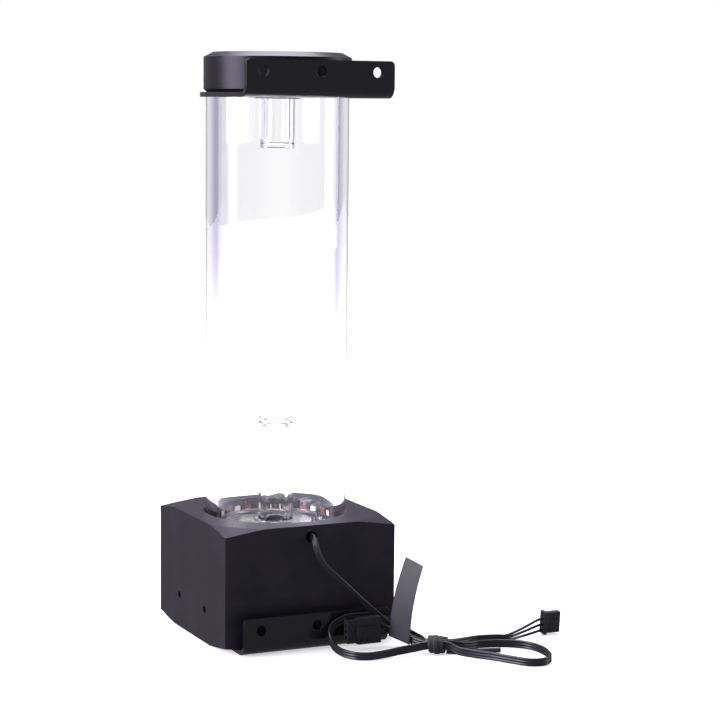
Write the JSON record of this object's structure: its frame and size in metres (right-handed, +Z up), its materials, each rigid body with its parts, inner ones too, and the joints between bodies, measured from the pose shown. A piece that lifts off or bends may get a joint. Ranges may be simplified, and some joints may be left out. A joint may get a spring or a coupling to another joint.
{
  "type": "coolant pump reservoir",
  "caption": "Square pump base under a tall clear reservoir tube with a riser, a screw cap with a fill plug, folded mounting brackets and a tied lighting cable.",
  "frame": {"origin": "middle of the base's underside, on the tube's axis", "axes": "+Z up the tube's axis; -Y towards the side with the two brackets and the cable; +X to the right as seen from that side"},
  "size_m": [0.1447, 0.1426, 0.2448],
  "materials": {
    "dark_metal": "black anodised, satin, fine turned finish on the top faces",
    "clear_acrylic": "clear cast acrylic, polished",
    "black_rubber": "plain moulded rubber",
    "strip_film": "flexible circuit film",
    "white_package": "white light packages",
    "copper_pad": "bare copper solder pads",
    "cable_black": "black PVC insulation",
    "bracket_black": "gloss black powder coat",
    "screw_steel": "plain steel",
    "pump_plastic": "glass-filled black plastic",
    "cover_metal": "plain die-cast",
    "board_green": "green lacquered circuit board",
    "core_steel": "laminated electrical steel",
    "winding_copper": "enamelled copper wire",
    "ball_ceramic": "polished white ceramic",
    "rotor_plastic": "black moulded plastic",
    "magnet_grey": "moulded ferrite",
    "tie_black": "black coated wire tie",
    "tag_black": "bare black label film",
    "connector_black": "black moulded connector",
    "contact_tin": "tinned contact"
  },
  "bodies": {
    "root": {"base_block": "dark_metal", "cap": "dark_metal", "floor_plate": "clear_acrylic", "reservoir_tube": "clear_acrylic", "riser_tube": "clear_acrylic", "drop_tube": "clear_acrylic", "floor_seal": "black_rubber", "tube_seal_lower": "black_rubber", "tube_seal_upper": "black_rubber", "pump_seal": "black_rubber", "led_strip": "strip_film", "led_packages": "white_package", "led_pads": "copper_pad", "led_lead": "cable_black", "upper_bracket": "bracket_black", "lower_bracket": "bracket_black", "lower_bracket_screws": "screw_steel", "pump_screws": "screw_steel", "pump_housing": "pump_plastic", "pump_cover": "cover_metal", "pump_board": "board_green", "stator_core": "core_steel", "stator_coils": "winding_copper", "bearing_ball": "ball_ceramic", "led_cable": "cable_black", "branch_cable": "cable_black", "cable_tie": "tie_black", "cable_tag": "tag_black", "plug_housing": "connector_black", "plug_contacts": "contact_tin", "plug_wires": "cable_black", "socket_housing": "connector_black", "socket_contacts": "contact_tin", "socket_wires": "cable_black"},
    "pump_rotor": {"rotor_magnet": "magnet_grey", "impeller": "rotor_plastic", "bearing_cup": "rotor_plastic"},
    "plug_seal": {"fill_plug_seal": "black_rubber"},
    "fill_plug": {"fill_plug": "dark_metal"}
  },
  "joints": [
    {"name": "pump_spin", "type": "hinge", "parent": "root", "child": "pump_rotor", "pos_m": [0, 0, 0.0225], "axis": [0, 0, 1], "continuous": true},
    {"name": "plug_lift", "type": "slide", "parent": "root", "child": "plug_seal", "axis": [0, 0, 1], "range_m": [0, 0.0085]},
    {"name": "plug_turn", "type": "hinge", "parent": "plug_seal", "child": "fill_plug", "pos_m": [0, 0, 0.2446], "axis": [0, 0, 1], "range_deg": [0, 2250]}
  ],
  "couplings": [
    {"joint": "plug_lift", "follows": "plug_turn", "m_per_rad": 0.00021279}
  ]
}
